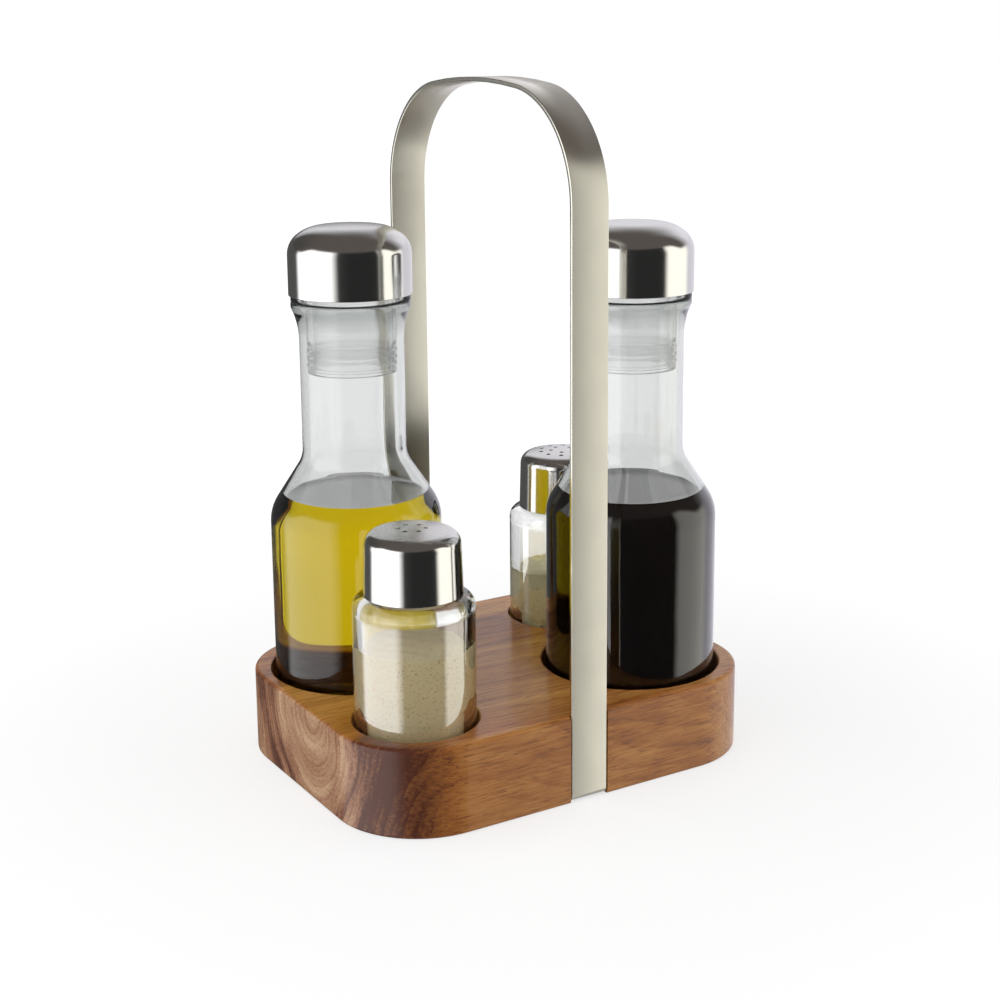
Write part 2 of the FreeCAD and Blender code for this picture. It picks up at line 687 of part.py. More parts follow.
def check(doc, nodes):
    """Stop if any object failed, or if a node has no sound solid."""
    for thing in doc.Objects:
        if "Invalid" in thing.State or "Error" in thing.State:
            raise RuntimeError(f"{thing.Label} failed: {thing.State}")
    for node in nodes:
        if node.Shape.isNull() or not node.Shape.isValid() or not node.Shape.Solids:
            raise RuntimeError(f"{node.Label} has no sound solid")


def main():
    doc = FreeCAD.newDocument("CruetSet")
    s = make_sheet(doc)
    nodes = [make_block(doc, s), make_handle(doc, s), make_screws(doc, s)]
    for prefix, fill, x, y in (
        ("oil", "oil_fill", -s.bottle_x, s.bottle_y),
        ("vinegar", "vinegar_fill", s.bottle_x, -s.bottle_y),
    ):
        nodes += make_bottle(doc, s, f"{prefix}_bottle_glass", fill, x, y)
        nodes += make_stopper(doc, s, prefix, x, y)
    front_rings = [(s.hole_ring, s.front_holes)]
    back_rings = [(s.hole_ring, s.back_inner_holes), (s.outer_hole_ring, s.back_outer_holes)]
    front_level = s.cavity_side - s.front_powder_space
    back_level = s.cavity_side - s.back_powder_space
    for prefix, fill, x, y, level, rings in (
        ("front", "front_powder", -s.shaker_x, -s.shaker_y, front_level, front_rings),
        ("back", "back_powder", s.shaker_x, s.shaker_y, back_level, back_rings),
    ):
        nodes += make_shaker(doc, s, f"{prefix}_shaker_glass", fill, x, y, level)
        nodes += make_shaker_cap(doc, s, prefix, x, y, rings)
    doc.recompute()
    check(doc, nodes)
    os.makedirs("parts", exist_ok=True)
    for node in nodes:
        node.Shape.exportStep(f"parts/{node.Label}.step")
        box = node.Shape.BoundBox
        print(f"{node.Label}: {len(node.Shape.Solids)} solid(s), {node.Shape.Volume:.0f} mm3, "
              f"z {box.ZMin:.2f} to {box.ZMax:.2f}")


main()
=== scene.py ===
"""Cruet set in its looks: a wooden block with a steel strap handle, two bottles and two shakers."""

import math

import bpy
import numpy as np
from bpy.props import FloatProperty, FloatVectorProperty, IntProperty, PointerProperty
from mathutils import Matrix, Vector


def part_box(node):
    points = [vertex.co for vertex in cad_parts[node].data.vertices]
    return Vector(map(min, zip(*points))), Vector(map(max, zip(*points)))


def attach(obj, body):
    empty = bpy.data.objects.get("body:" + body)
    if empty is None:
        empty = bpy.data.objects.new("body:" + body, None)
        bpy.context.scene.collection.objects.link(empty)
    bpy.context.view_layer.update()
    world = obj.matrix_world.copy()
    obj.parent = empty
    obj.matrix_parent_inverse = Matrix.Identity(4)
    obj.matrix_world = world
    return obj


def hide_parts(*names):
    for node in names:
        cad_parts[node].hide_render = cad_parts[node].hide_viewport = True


bl_info = {
    "name": "Cruet Set",
    "version": (1, 0, 0),
    "blender": (4, 5, 0),
    "location": "View3D > Sidebar > Cruet Set",
    "description": "Dresses the cruet set: wood, steel, glass, oil, vinegar and powders",
    "category": "Object",
}

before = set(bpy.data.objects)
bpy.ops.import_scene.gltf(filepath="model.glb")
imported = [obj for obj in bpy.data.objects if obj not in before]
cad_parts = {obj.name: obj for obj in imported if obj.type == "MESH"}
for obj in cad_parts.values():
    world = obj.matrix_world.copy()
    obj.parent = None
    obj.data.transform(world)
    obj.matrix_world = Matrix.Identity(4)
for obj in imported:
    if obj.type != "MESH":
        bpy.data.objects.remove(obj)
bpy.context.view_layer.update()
MM = 0.001
BOTTLE_RADIUS = 30  # the bottle's measures are in millimetres, from its own foot, outside
NECK_RADIUS = 18.1
SHOULDER_FOOT = 69.9
SHOULDER_ROUND = 15
NECK_ROUND = 11
SHOULDER_SLANT = math.radians(33)
BOTTLE_WALL = 2.2
BOTTLE_FLOOR = 4.5
CAMERA_SIDE = math.radians(-121.3)  # direction from the object to the camera, from +X


def span(node):
    """Axis, foot and top of a turned node, in millimetres: (x, y), low z, high z."""
    low, high = (np.array(corner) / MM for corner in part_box(node))
    return (low[:2] + high[:2]) / 2, low[2], high[2]


class CruetSizes(bpy.types.PropertyGroup):
    """Sizes of what the looks add to the construction."""

    strap_edge: FloatProperty(
        name="Strap edge", description="Radius of the strap's long edges", default=0.00028,
        unit="LENGTH", subtype="DISTANCE")
    steel_edge: FloatProperty(
        name="Cap edge", description="Radius of a steel cap's lower edge", default=0.0002,
        unit="LENGTH", subtype="DISTANCE")
    meniscus: FloatProperty(
        name="Meniscus", description="How far a liquid climbs at the glass", default=0.0011,
        unit="LENGTH", subtype="DISTANCE")
    powder_waves: FloatProperty(
        name="Powder waves", description="Height of the uneven top of a powder", default=0.0012,
        unit="LENGTH", subtype="DISTANCE")
    around: IntProperty(
        name="Sides", description="Flats around a turned piece", default=144, min=24, max=256)


class CruetFinishes(bpy.types.PropertyGroup):
    """Colours of the finishes."""

    wood_dark: FloatVectorProperty(
        name="Dark wood", description="Late wood and streaks", default=(0.085, 0.021, 0.008),
        subtype="COLOR", min=0, max=1)
    wood_middle: FloatVectorProperty(
        name="Wood", description="Wood between the rings, on the sides and the top",
        default=(0.350, 0.122, 0.024), subtype="COLOR", min=0, max=1)
    wood_light: FloatVectorProperty(
        name="Light wood", description="Early wood, on the sides and the top",
        default=(0.63, 0.32, 0.086), subtype="COLOR", min=0, max=1)
    end_middle: FloatVectorProperty(
        name="End wood", description="Wood between the rings, on the two ends",
        default=(0.34, 0.155, 0.080), subtype="COLOR", min=0, max=1)
    end_light: FloatVectorProperty(
        name="Light end wood", description="Early wood, on the two ends", default=(0.64, 0.42, 0.25),
        subtype="COLOR", min=0, max=1)
    steel: FloatVectorProperty(
        name="Cap steel", description="Polished steel of the caps", default=(0.64, 0.635, 0.62),
        subtype="COLOR", min=0, max=1)
    strap: FloatVectorProperty(
        name="Strap steel", description="Satin steel of the handle", default=(0.76, 0.74, 0.65),
        subtype="COLOR", min=0, max=1)
    oil: FloatVectorProperty(
        name="Oil", description="Light that the oil lets through", default=(0.95, 0.885, 0.0),
        subtype="COLOR", min=0, max=1)
    oil_density: FloatProperty(
        name="Oil density", description="How strongly the oil takes up light, per metre",
        default=92, min=0)
    vinegar: FloatVectorProperty(
        name="Vinegar", description="Dark vinegar", default=(0.0055, 0.004, 0.0045),
        subtype="COLOR", min=0, max=1)
    front_powder: FloatVectorProperty(
        name="Front powder", description="Ground pepper, pale", default=(0.85, 0.71, 0.41),
        subtype="COLOR", min=0, max=1)
    back_powder: FloatVectorProperty(
        name="Back powder", description="Salt with a warm tint", default=(0.97, 0.91, 0.60),
        subtype="COLOR", min=0, max=1)


class Wire:
    """A node's output. Sums on wires add Math nodes to the tree that the wire is in."""

    def __init__(self, tree, socket):
        self.tree = tree
        self.socket = socket

    def other(self, output):
        """Another output of the same node."""
        return Wire(self.tree, self.socket.node.outputs[output])

    def sum(self, operation, first, second=0.0, third=0.0):
        return self.tree.add("ShaderNodeMath", {"operation": operation}, {0: first, 1: second, 2: third})

    def __add__(self, number):
        return self.sum("ADD", self, number)

    def __sub__(self, number):
        return self.sum("SUBTRACT", self, number)

    def __rsub__(self, number):
        return self.sum("SUBTRACT", number, self)

    def __mul__(self, number):
        return self.sum("MULTIPLY", self, number)

    def __truediv__(self, number):
        return self.sum("DIVIDE", self, number)

    def __pow__(self, number):
        return self.sum("POWER", self, number)

    __radd__ = __add__
    __rmul__ = __mul__


class Tree:
    """A node tree that is written as sums on wires."""

    def __init__(self, node_tree):
        self.nodes = node_tree.nodes
        self.links = node_tree.links
        self.nodes.clear()

    def add(self, kind, settings=None, values=None, output=0):
        """A node of a kind: its settings first, then the values or links of its sockets."""
        node = self.nodes.new(kind)
        for name, setting in (settings or {}).items():
            if name == "stops":
                self.set_stops(node.color_ramp, setting)
            else:
                setattr(node, name, setting)
        for name, value in (values or {}).items():
            if isinstance(value, Wire):
                self.links.new(value.socket, node.inputs[name])
            else:
                node.inputs[name].default_value = value
        return Wire(self, node.outputs[output]) if node.outputs else node

    def set_stops(self, ramp, stops):
        """Stops of a ramp: pairs of a place from 0 to 1 and a colour."""
        while len(ramp.elements) < len(stops):
            ramp.elements.new(1.0)
        for element, (place, colour) in zip(ramp.elements, stops):
            element.position = place
            element.color = (*colour, 1.0)

    def millimetres(self):
        """Place on the object in millimetres."""
        place = self.add("ShaderNodeTexCoord", output="Object")
        return self.add("ShaderNodeVectorMath", {"operation": "SCALE"}, {0: place, "Scale": 1000.0})

    def parts(self, vector):
        """The three numbers of a vector."""
        first = self.add("ShaderNodeSeparateXYZ", values={0: vector})
        return first, first.other(1), first.other(2)

    def vector(self, first, second, third):
        """Three numbers as a vector."""
        return self.add("ShaderNodeCombineXYZ", values={0: first, 1: second, 2: third})

    def noise(self, vector, stretch, detail=3.0, roughness=0.5):
        """Noise from 0 to 1 whose cells are 1 / stretch long."""
        place = self.add("ShaderNodeVectorMath", {"operation": "MULTIPLY"}, {0: vector, 1: stretch})
        return self.add("ShaderNodeTexNoise", values={
            "Vector": place, "Scale": 1.0, "Detail": detail, "Roughness": roughness})

    def blend(self, share, first, second):
        """Colour between two colours."""
        return self.add("ShaderNodeMix", {"data_type": "RGBA"}, {0: share, 6: first, 7: second}, output=2)

    def between(self, number, low, high):
        """Smooth step of a number from 0 at low to 1 at high."""
        settings = {"interpolation_type": "SMOOTHSTEP"}
        return self.add("ShaderNodeMapRange", settings, {"Value": number, "From Min": low, "From Max": high})

    def slant(self):
        """How far a surface is turned from the eye, 0 to 1, low over most of a round piece."""
        return self.add("ShaderNodeLayerWeight", values={"Blend": 0.5}, output="Facing") ** 2.5

    def bump(self, height, distance):
        """Normal of a surface whose height varies from 0 to 1, times distance in metres."""
        return self.add("ShaderNodeBump", values={"Height": height, "Distance": distance})


def solid_colour(colour):
    return (*colour, 1.0)


def new_finish(name):
    finish = bpy.data.materials.new(name)
    finish.use_nodes = True
    return finish, Tree(finish.node_tree)


def principled(tree, **values):
    """Principled shader with its sockets named by words, set or linked."""
    return tree.add("ShaderNodeBsdfPrincipled", values={
        name.replace("_", " "): value for name, value in values.items()})


def show(tree, shader, absorbed=None, density=0.0):
    """Use a shader as the surface. absorbed is the tint of a clear body that takes up light."""
    sockets = {"Surface": shader}
    if absorbed is not None:
        sockets["Volume"] = tree.add("ShaderNodeVolumeAbsorption",
                                     values={"Color": solid_colour(absorbed), "Density": density})
    tree.add("ShaderNodeOutputMaterial", {"target": "ALL"}, sockets)


def wood_finish(colours):
    """Oiled hardwood. The log's axis runs along X, above the block's front half, so its rings are nested
    arcs on the ends and long bands on the sides and the top. Broad and narrow bands are noise of the
    distance from that axis, and each ring ends in a thin dark line, both stronger on the ends. The
    fibres and the pores are noise drawn out along X. The ends are paler and pinker than the sides, and
    the rounded corner at -X and -Y is darker."""
    finish, tree = new_finish("oiled_wood")
    place = tree.millimetres()
    x, y, z = tree.parts(place)
    sway = tree.noise(place, (0.006, 0.02, 0.02), 2.0) - 0.5
    twist = tree.noise(place, (0.012, 0.07, 0.07), 3.0) - 0.5
    across = y + 15.0 + x * 0.05 + sway * 22.0
    down = (z - 40.0) * 0.6 + twist * 4.0
    radius = (across * across + down * down) ** 0.5 + x * 0.012 + twist * 2.6
    ring_place = tree.vector(radius, x * 0.06, z * 0.16)
    bands = tree.noise(ring_place, (0.13, 0.13, 0.13), 5.0, 0.62) - 0.5
    rings = tree.add("ShaderNodeMath", {"operation": "FRACT"}, {0: radius / 2.3 + bands * 1.8})
    line = tree.between(rings, 0.45, 0.93) * (1.0 - tree.between(rings, 0.93, 1.0))
    faint = tree.noise(place, (0.014, 0.06, 0.06), 2.0)
    fibre = tree.noise(place, (0.05, 1.0, 1.0), 6.0, 0.75) - 0.5
    pores = tree.between(tree.noise(place, (0.16, 2.4, 2.4), 2.0), 0.58, 0.68)
    heart = tree.between(tree.noise(place, (0.012, 0.04, 0.02), 3.0, 0.6), 0.46, 0.64)
    # darker patch on the rounded corner at -X and -Y only
    past_corner = tree.between(x * -1.0 + y * 0.3, 54.0, 70.0)
    corner = tree.between(x * -1.0 - y * 0.6, 80.0, 100.0) * (1.0 - past_corner)
    _, _, upward = tree.parts(tree.add("ShaderNodeNewGeometry", output="True Normal"))
    end = tree.between(x.sum("ABSOLUTE", x), 60.0, 77.0) * (1.0 - tree.between(upward, 0.6, 0.95))
    strong = 0.55 + end * 0.60
    depth = (0.60 + x * 0.0012 + bands * strong * 2.1 - line * faint * strong * 0.30
             + fibre * 1.15 - heart * 0.20 - corner * (0.42 + fibre * 0.5 + bands * 0.6))
    side_colour = tree.add("ShaderNodeValToRGB", {"stops": (
        (0.05, colours.wood_dark), (0.40, colours.wood_middle), (0.95, colours.wood_light))}, {0: depth})
    end_colour = tree.add("ShaderNodeValToRGB", {"stops": (
        (0.05, colours.wood_dark), (0.42, colours.end_middle), (0.95, colours.end_light))}, {0: depth})
    colour = tree.blend(end, side_colour, end_colour)
    colour = tree.blend(pores * 0.6, colour, solid_colour(colours.wood_dark))
    rough = 0.42 + fibre * 0.3 + pores * 0.15
    height = fibre * 0.8 - pores * 0.9 - line * 0.15
    show(tree, principled(
        tree, Base_Color=colour, Roughness=rough, Normal=tree.bump(height, 0.00005),
        IOR=1.45, Specular_IOR_Level=0.25, Coat_Weight=0.42, Coat_Roughness=0.16))
    return finish


def strap_finish(colours):
    """Satin steel, brushed along the strap, with smoother edges."""
    finish, tree = new_finish("satin_strap_steel")
    place = tree.add("ShaderNodeUVMap", {"uv_map": "strap"})
    lines = tree.noise(place, (4200.0, 26.0, 1.0), 4.0, 0.7)
    wear = tree.noise(place, (120.0, 60.0, 1.0), 3.0)
    colour = tree.blend(wear * 0.5, solid_colour(colours.strap), (0.62, 0.60, 0.56, 1.0))
    side, _, _ = tree.parts(tree.add("ShaderNodeTexCoord", output="Normal"))
    rim = tree.between(side.sum("ABSOLUTE", side), 0.5, 0.9)
    rough = (0.30 + lines * 0.08 + wear * 0.05) * (1.0 - rim * 0.55)
    show(tree, principled(
        tree, Base_Color=colour, Metallic=1.0, Roughness=rough, Anisotropic=0.85,
        Normal=tree.bump(lines, 0.000010)))
    return finish


def cap_finish(colours):
    """Polished sheet steel with faint lines from the spinning, satin on the top."""
    finish, tree = new_finish("polished_cap_steel")
    place = tree.add("ShaderNodeUVMap", {"uv_map": "turned"})
    lines = tree.noise(place, (3.0, 5200.0, 1.0), 3.0, 0.6)
    wear = tree.noise(tree.millimetres(), (0.25, 0.25, 0.25), 4.0, 0.6)
    colour = tree.blend(wear * 0.35, solid_colour(colours.steel), (0.58, 0.57, 0.56, 1.0))
    _, _, upward = tree.parts(tree.add("ShaderNodeTexCoord", output="Normal"))
    rough = 0.085 + lines * 0.05 + wear * 0.03 + tree.between(upward, 0.80, 0.97) * 0.15
    show(tree, principled(
        tree, Base_Color=colour, Metallic=1.0, Roughness=rough, Normal=tree.bump(lines, 0.000003)))
    return finish


def screw_finish():
    """Bright zinc on the screws."""
    finish, tree = new_finish("screw_zinc")
    wear = tree.noise(tree.millimetres(), (1.4, 1.4, 1.4), 4.0, 0.6)
    colour = tree.blend(wear, (0.50, 0.49, 0.47, 1.0), (0.66, 0.65, 0.62, 1.0))
    show(tree, principled(
        tree, Base_Color=colour, Metallic=1.0, Roughness=0.22 + wear * 0.2,
        Normal=tree.bump(wear, 0.00002)))
    return finish


def glass_finish(name, density, wet=None, wall=None):
    """Clear pressed glass with slow ripples, a little grey through its thickness. Where a liquid lies
    against it, it has no gloss of its own inside: wet holds the bottle's axis, foot and liquid level.
    The wet skin is nearer to the centre of the shoulder's curve than the middle of the wall is.
    wall is where an outer wall starts and ends along the outline, in metres: it has a deep gloss."""
    finish, tree = new_finish(name)
    place = tree.millimetres()
    ripple = tree.noise(place, (0.055, 0.055, 0.03), 1.0)
    film = tree.noise(place, (0.2, 0.2, 0.1), 2.0)
    common = dict(Base_Color=(1.0, 1.0, 1.0, 1.0), Roughness=tree.between(film, 0.62, 0.9) * 0.02,
                  Transmission_Weight=1.0, IOR=1.5, Normal=tree.bump(ripple, 0.0004))
    if wall:
        _, along, _ = tree.parts(tree.add("ShaderNodeUVMap", {"uv_map": "turned"}))
        start, end = wall
        gloss = tree.between(along, start, start + 0.002) * (1.0 - tree.between(along, end - 0.002, end))
        glass = principled(
            tree, Coat_Weight=0.07 + gloss * 0.93, Coat_IOR=2.35, Coat_Roughness=0.0, **common)
    else:
        glass = principled(tree, Coat_Weight=0.0 if wet else 0.5, Coat_Roughness=0.0, **common)
    if wet:
        (axis_x, axis_y), foot, level = wet
        x, y, z = tree.parts(place)
        x, y = x - axis_x, y - axis_y
        off = (x * x + y * y) ** 0.5 - (BOTTLE_RADIUS - SHOULDER_ROUND)
        rise = z.sum("MAXIMUM", z - (foot + SHOULDER_FOOT), 0.0)
        near = z.sum("LESS_THAN", (off * off + rise * rise) ** 0.5, SHOULDER_ROUND - BOTTLE_WALL / 2)
        above_floor = z.sum("GREATER_THAN", z, foot + BOTTLE_FLOOR - BOTTLE_WALL)
        inside = near * above_floor * z.sum("LESS_THAN", z, level)
        skin = principled(tree, Specular_Tint=(0.0, 0.0, 0.0, 1.0), **common)
        glass = tree.add("ShaderNodeMixShader", values={0: inside, 1: glass, 2: skin})
    show(tree, glass, (0.50, 0.53, 0.52), density)
    return finish


def oil_finish(colours):
    """Golden oil, clear, that takes up blue light in a short way, with a sheen on its open top."""
    finish, tree = new_finish("golden_oil")
    stir = tree.noise(tree.millimetres(), (0.05, 0.05, 0.02), 1.0)
    _, _, upward = tree.parts(tree.add("ShaderNodeTexCoord", output="Normal"))
    oil = principled(
        tree, Base_Color=(1.0, 1.0, 1.0, 1.0), Roughness=0.0, Transmission_Weight=1.0, IOR=1.47,
        Specular_Tint=(0.0, 0.0, 0.0, 1.0), Normal=tree.bump(stir, 0.0002),
        Coat_Weight=tree.between(upward, 0.70, 0.80), Coat_IOR=2.9, Coat_Roughness=0.0)
    show(tree, oil, colours.oil, colours.oil_density)
    return finish


def vinegar_finish(colours):
    """Dark vinegar, which lets no light through at this depth. Against the glass it has no gloss of
    its own, and its open top has."""
    finish, tree = new_finish("dark_vinegar")
    cloud = tree.noise(tree.millimetres(), (0.06, 0.06, 0.03), 2.0)
    colour = tree.blend(cloud, solid_colour(colours.vinegar), (0.010, 0.006, 0.0045, 1.0))
    _, _, upward = tree.parts(tree.add("ShaderNodeTexCoord", output="Normal"))
    show(tree, principled(
        tree, Base_Color=colour, Roughness=0.03 + cloud * 0.03, IOR=1.34, Specular_IOR_Level=0.02,
        Coat_Weight=tree.between(upward, 0.70, 0.80), Coat_IOR=2.0, Coat_Roughness=0.0))
    return finish


def plastic_finish():
    """Milky stopper plastic, greyer where it is seen edgeways through more of its thickness."""
    finish, tree = new_finish("milky_plastic")
    cloud = tree.noise(tree.millimetres(), (0.35, 0.35, 0.35), 3.0)
    grain = tree.noise(tree.millimetres(), (6.0, 6.0, 6.0), 2.0)
    colour = tree.blend(cloud, (0.975, 0.98, 0.98, 1.0), (1.0, 1.0, 1.0, 1.0))
    colour = tree.blend(tree.slant(), colour, (0.50, 0.51, 0.515, 1.0))
    show(tree, principled(
        tree, Base_Color=colour, Roughness=0.14 + grain * 0.12, Transmission_Weight=0.97,
        IOR=1.10, Normal=tree.bump(grain, 0.00001)))
    return finish


def seal_finish():
    """Clear silicone of the seals."""
    finish, tree = new_finish("clear_silicone")
    cloud = tree.noise(tree.millimetres(), (0.2, 0.2, 0.2), 2.0)
    colour = tree.blend(cloud, (0.965, 0.97, 0.965, 1.0), (0.99, 0.99, 0.99, 1.0))
    colour = tree.blend(tree.slant(), colour, (0.50, 0.51, 0.50, 1.0))
    show(tree, principled(
        tree, Base_Color=colour, Roughness=0.16 + cloud * 0.1, Transmission_Weight=0.97, IOR=1.13))
    return finish


def powder_finish(name, colour, fleck, share, grain_size):
    """Ground spice: pale grains with darker flecks, each fleck a cell of a cellular pattern."""
    finish, tree = new_finish(name)
    place = tree.millimetres()
    cloud = tree.noise(place, (0.12, 0.12, 0.2), 3.0)
    grain = tree.noise(place, (grain_size,) * 3, 3.0, 0.7)
    cells = tree.add("ShaderNodeTexVoronoi", {"feature": "F1"},
                     {"Vector": place, "Scale": grain_size * 0.9}, output="Color")
    red, green, _ = tree.parts(cells)
    flecks = tree.between(red, 1.0 - share, 1.0 - share * 0.5)
    light = tree.blend(cloud * 0.6, solid_colour(colour), solid_colour([c * 0.82 for c in colour]))
    light = tree.blend(tree.between(grain, 0.55, 0.8) * 0.35, light, (0.93, 0.90, 0.80, 1.0))
    finished = tree.blend(flecks * (0.15 + green * 0.45), light, solid_colour(fleck))
    show(tree, principled(
        tree, Base_Color=finished, Roughness=0.95 - grain * 0.1, Specular_IOR_Level=0.2,
        Normal=tree.bump(grain, 0.00025)))
    return finish


def trace(corners, turn_step=5.0):
    """Points along an outline of corners (a, b) or (a, b, radius, turn).

    A corner with a radius is reached from the one before on a circle that turns left (turn = 1) or
    right (turn = -1): the centre is off the chord's middle by the root of radius squared less half
    the chord squared, and the points are centre + radius * (cos, sin) at equal steps of angle.
    """
    points = [np.array([corners[0][:2]], float)]
    for before, corner in zip(corners, corners[1:]):
        start, end = np.array(before[:2], float), np.array(corner[:2], float)
        if len(corner) == 2:
            points.append(end[None])
            continue
        radius, turn = corner[2:]
        chord = end - start
        length = np.hypot(*chord)
        across = np.array([-chord[1], chord[0]]) / length
        centre = (start + end) / 2 + across * turn * math.sqrt(max(radius ** 2 - length ** 2 / 4, 0.0))
        first = math.atan2(*(start - centre)[::-1])
        sweep = 2 * math.asin(min(length / 2 / radius, 1.0)) * turn
        steps = max(2, math.ceil(abs(math.degrees(sweep)) / turn_step))
        angles = first + sweep * np.arange(1, steps + 1) / steps
        points.append(centre + radius * np.stack([np.cos(angles), np.sin(angles)], axis=1))
    return np.concatenate(points)


def make_mesh(name, points, faces, places, layer):
    """Object from points in millimetres, lists of faces and one place on the surface per face corner.

    The faces are turned round if the volume that they enclose is negative: it is the sum over the
    triangles of each face of the box product of their corners, over 6.
    """
    volume = 0.0
    for group in faces:
        for second in range(1, group.shape[1] - 1):
            a, b, c = points[group[:, 0]], points[group[:, second]], points[group[:, second + 1]]
            volume += np.einsum("ij,ij->", a, np.cross(b, c))
    if volume < 0:
        faces = [group[:, ::-1] for group in faces]
        places = [group[:, ::-1] for group in places]
    mesh = bpy.data.meshes.new(name)
    mesh.from_pydata((points * MM).tolist(), [], [face for group in faces for face in group.tolist()])
    wide = np.concatenate([group.reshape(-1, 2) for group in places])
    mesh.uv_layers.new(name=layer).data.foreach_set("uv", wide.astype(np.float32).ravel())
    mesh.validate()
    mesh.polygons.foreach_set("use_smooth", np.ones(len(mesh.polygons), bool))
    mesh.set_sharp_from_angle(angle=math.radians(32))
    piece = bpy.data.objects.new(name, mesh)
    bpy.context.scene.collection.objects.link(piece)
    return piece


def turned_piece(name, outline, spot, around, lift=None):
    """Surface of revolution about the upright line through spot.

    A point is (spot + r * (cos a, sin a), z) for every (r, z) of the outline and every angle a of
    equal steps. An outline that starts and ends on the axis gets a point at each pole, and any other
    is closed into a ring. lift gives what is added to z at each r, a and z.
    """
    outline = np.asarray(outline, float)
    poles = outline[0, 0] < 1e-9 and outline[-1, 0] < 1e-9
    rings = outline[1:-1] if poles else outline
    angles = np.arange(around) * 2 * math.pi / around
    radius, turn = np.meshgrid(rings[:, 0], angles, indexing="ij")
    height = np.repeat(rings[:, 1:], around, axis=1)
    if lift is not None:
        height = height + lift(radius, turn, height)
    points = np.stack([spot[0] + radius * np.cos(turn), spot[1] + radius * np.sin(turn), height], axis=2)
    points = points.reshape(-1, 3)
    runs = np.cumsum(np.r_[0, np.hypot(*np.diff(outline, axis=0).T)]) * MM
    run = runs[1:-1] if poles else runs
    rows = len(rings) - 1 if poles else len(rings)
    row, column = np.meshgrid(np.arange(rows), np.arange(around), indexing="ij")
    below, after = (row + 1) % len(rings), (column + 1) % around
    quads = np.stack([row * around + column, row * around + after,
                      below * around + after, below * around + column], axis=2).reshape(-1, 4)
    left, right = column / around, (column + 1) / around
    quad_places = np.stack([
        np.stack([left, run[row]], 2), np.stack([right, run[row]], 2),
        np.stack([right, run[below]], 2), np.stack([left, run[below]], 2)], axis=2).reshape(-1, 4, 2)
    faces, places = [quads], [quad_places]
    if poles:
        first, last = len(points), len(points) + 1
        ends = outline[[0, -1]]
        tips = np.array([[spot[0], spot[1], ends[0, 1]], [spot[0], spot[1], ends[1, 1]]])
        if lift is not None:
            tips[:, 2] += lift(ends[:, 0], np.zeros(2), ends[:, 1])
        points = np.concatenate([points, tips])
        here = np.arange(around)
        there = (here + 1) % around
        base = (len(rings) - 1) * around
        faces += [np.stack([np.full(around, first), there, here], 1),
                  np.stack([np.full(around, last), base + here, base + there], 1)]
        middle, side, beside = (here + 0.5) / around, here / around, (here + 1) / around
        flat = np.zeros(around)
        places += [
            np.stack([np.stack([middle, flat + runs[0]], 1), np.stack([beside, flat + run[0]], 1),
                      np.stack([side, flat + run[0]], 1)], 1),
            np.stack([np.stack([middle, flat + runs[-1]], 1), np.stack([side, flat + run[-1]], 1),
                      np.stack([beside, flat + run[-1]], 1)], 1)]
    return make_mesh(name, points, faces, places, "turned")


def swept_strap(name, path, half_width, half_thick, edge):
    """Flat bar along a path in the plane x = 0.

    The section is a rectangle with rounded corners, its wide side along X. A point is
    path point + x * X + n * N, with N the path's normal in the plane and (x, n) on the section.
    """
    corner = np.radians(np.linspace(0, 90, 5))
    section = []
    for sx, sn, turn in ((1, 1, 0), (-1, 1, 90), (-1, -1, 180), (1, -1, 270)):
        arc = corner + math.radians(turn)
        section.append(np.stack([sx * (half_width - edge) + edge * np.cos(arc),
                                 sn * (half_thick - edge) + edge * np.sin(arc)], axis=1))
    section = np.concatenate(section)
    ahead = np.gradient(path, axis=0)
    ahead /= np.hypot(*ahead.T)[:, None]
    normal = np.stack([-ahead[:, 1], ahead[:, 0]], axis=1)
    count, sides = len(path), len(section)
    points = np.empty((count, sides, 3))
    points[..., 0] = section[None, :, 0]
    points[..., 1] = path[:, None, 0] + normal[:, None, 0] * section[None, :, 1]
    points[..., 2] = path[:, None, 1] + normal[:, None, 1] * section[None, :, 1]
    along = np.cumsum(np.r_[0, np.hypot(*np.diff(path, axis=0).T)]) * MM
    across = np.cumsum(np.r_[0, np.hypot(*np.diff(np.r_[section, section[:1]], axis=0).T)]) * MM
    row, column = np.meshgrid(np.arange(count - 1), np.arange(sides), indexing="ij")
    after = (column + 1) % sides
    quads = np.stack([row * sides + column, row * sides + after,
                      (row + 1) * sides + after, (row + 1) * sides + column], axis=2).reshape(-1, 4)
    quad_places = np.stack([
        np.stack([across[column], along[row]], 2), np.stack([across[column + 1], along[row]], 2),
        np.stack([across[column + 1], along[row + 1]], 2), np.stack([across[column], along[row + 1]], 2),
    ], axis=2).reshape(-1, 4, 2)
    ends = np.stack([np.arange(sides)[::-1], (count - 1) * sides + np.arange(sides)])
    end_places = np.stack([section[::-1], section]) * MM
    return make_mesh(name, points.reshape(-1, 3), [quads, ends], [quad_places, end_places], "strap")


def cut_away(piece, cutters):
    """Take cutting shapes out of a piece, for good."""
    for cutter in cutters:
        modifier = piece.modifiers.new("cut", "BOOLEAN")
        modifier.operation = "DIFFERENCE"
        modifier.solver = "EXACT"
        modifier.object = cutter
    bpy.context.view_layer.update()
    ready = piece.evaluated_get(bpy.context.evaluated_depsgraph_get())
    mesh = bpy.data.meshes.new_from_object(ready)
    old = piece.data
    piece.modifiers.clear()
    piece.data = mesh
    bpy.data.meshes.remove(old)
    for cutter in cutters:
        bpy.data.meshes.remove(cutter.data)
    mesh.name = piece.name
    mesh.set_sharp_from_angle(angle=math.radians(32))


def hand_over(piece, body, node, finish):
    """Give a piece its finish, its body and the node that it stands for."""
    piece.data.materials.clear()
    piece.data.materials.append(finish)
    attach(piece, body)
    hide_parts(node)


